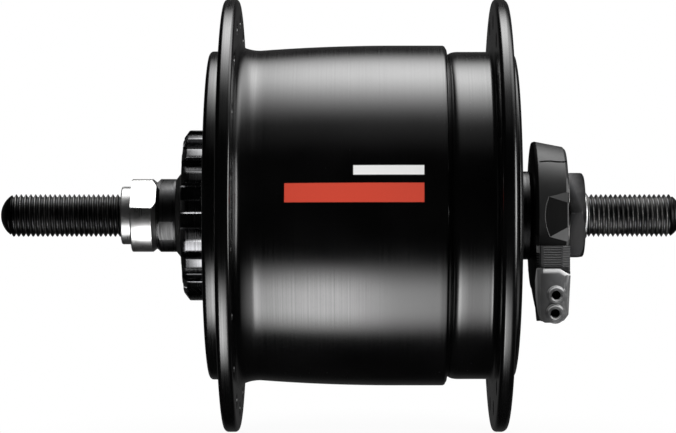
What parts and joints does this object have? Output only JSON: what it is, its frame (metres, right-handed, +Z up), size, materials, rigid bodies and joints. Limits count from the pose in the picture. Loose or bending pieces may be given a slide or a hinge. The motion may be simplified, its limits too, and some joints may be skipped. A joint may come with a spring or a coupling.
{
  "type": "bicycle hub dynamo",
  "caption": "Flanged bicycle front hub with a built-in generator on a fixed threaded axle, a splined roller brake carrier and a pull-off cable plug.",
  "frame": {"origin": "middle of the axle, halfway between its two domed ends, on the spin axis", "axes": "+Y along the axle towards the brake side, -Y towards the electrical terminal, +Z up with the bicycle upright, -X towards the side the plug's wires leave from"},
  "size_m": [0.0892, 0.1408, 0.0892],
  "materials": {
    "black_shell": "gloss black anodised aluminium",
    "black_carrier": "satin black painted steel",
    "dark_steel": "black zinc plated steel",
    "polished_steel": "bright nickel plated steel",
    "plain_steel": "plain pressed steel",
    "bearing_steel": "ground bearing steel",
    "black_plastic": "satin black moulded plastic",
    "grey_plastic": "satin grey moulded plastic",
    "bobbin_plastic": "natural nylon",
    "copper_winding": "enamelled copper wire",
    "brass": "plain brass",
    "magnet_black": "sintered ferrite",
    "wire_insulation": "flexible wire insulation",
    "rubber": "plain black rubber"
  },
  "bodies": {
    "stator": {"axle": "dark_steel", "left_cone": "dark_steel", "left_lock_nut": "polished_steel", "left_dust_seal": "black_plastic", "right_cone": "dark_steel", "right_dust_seal": "black_plastic", "right_lock_nut": "dark_steel", "terminal_washer": "dark_steel", "terminal_housing": "black_plastic", "terminal_pins": "brass", "lead_wires": "wire_insulation", "left_claw_plate": "plain_steel", "right_claw_plate": "plain_steel", "stator_core": "plain_steel", "coil_bobbin": "bobbin_plastic", "coil_winding": "copper_winding", "stator_clamp_nut": "plain_steel", "stator_snap_ring": "plain_steel"},
    "hub_shell": {"hub_shell_main": "black_shell", "hub_shell_right": "black_shell", "brake_side_end_cap": "black_shell", "brake_spline_ring": "black_carrier", "right_end_cover": "black_shell", "left_bearing_cup": "bearing_steel", "right_bearing_cup": "bearing_steel", "magnets": "magnet_black", "magnet_yoke": "plain_steel", "left_o_ring": "rubber", "right_o_ring": "rubber"},
    "left_ball_set": {"left_balls": "bearing_steel", "left_ball_retainer": "bearing_steel"},
    "right_ball_set": {"right_balls": "bearing_steel", "right_ball_retainer": "bearing_steel"},
    "plug": {"plug_body": "black_plastic", "plug_contacts": "brass"},
    "plug_cover": {"plug_cover": "grey_plastic"}
  },
  "joints": [
    {"name": "hub_spin", "type": "hinge", "parent": "stator", "child": "hub_shell", "pos_m": [0, 0, 0], "axis": [0, 1, 0], "continuous": true},
    {"name": "left_cage_spin", "type": "hinge", "parent": "stator", "child": "left_ball_set", "pos_m": [0, 0.0276, 0], "axis": [0, 1, 0], "continuous": true},
    {"name": "right_cage_spin", "type": "hinge", "parent": "stator", "child": "right_ball_set", "pos_m": [0, -0.0315, 0], "axis": [0, 1, 0], "continuous": true},
    {"name": "plug_slide", "type": "slide", "parent": "stator", "child": "plug", "axis": [0, 0, -1], "range_m": [0, 0.012]},
    {"name": "plug_cover_slide", "type": "slide", "parent": "plug", "child": "plug_cover", "axis": [0, 0, -1], "range_m": [0, 0.011]}
  ],
  "couplings": [
    {"joint": "left_cage_spin", "follows": "hub_spin", "ratio": 0.5809},
    {"joint": "right_cage_spin", "follows": "hub_spin", "ratio": 0.5726}
  ]
}
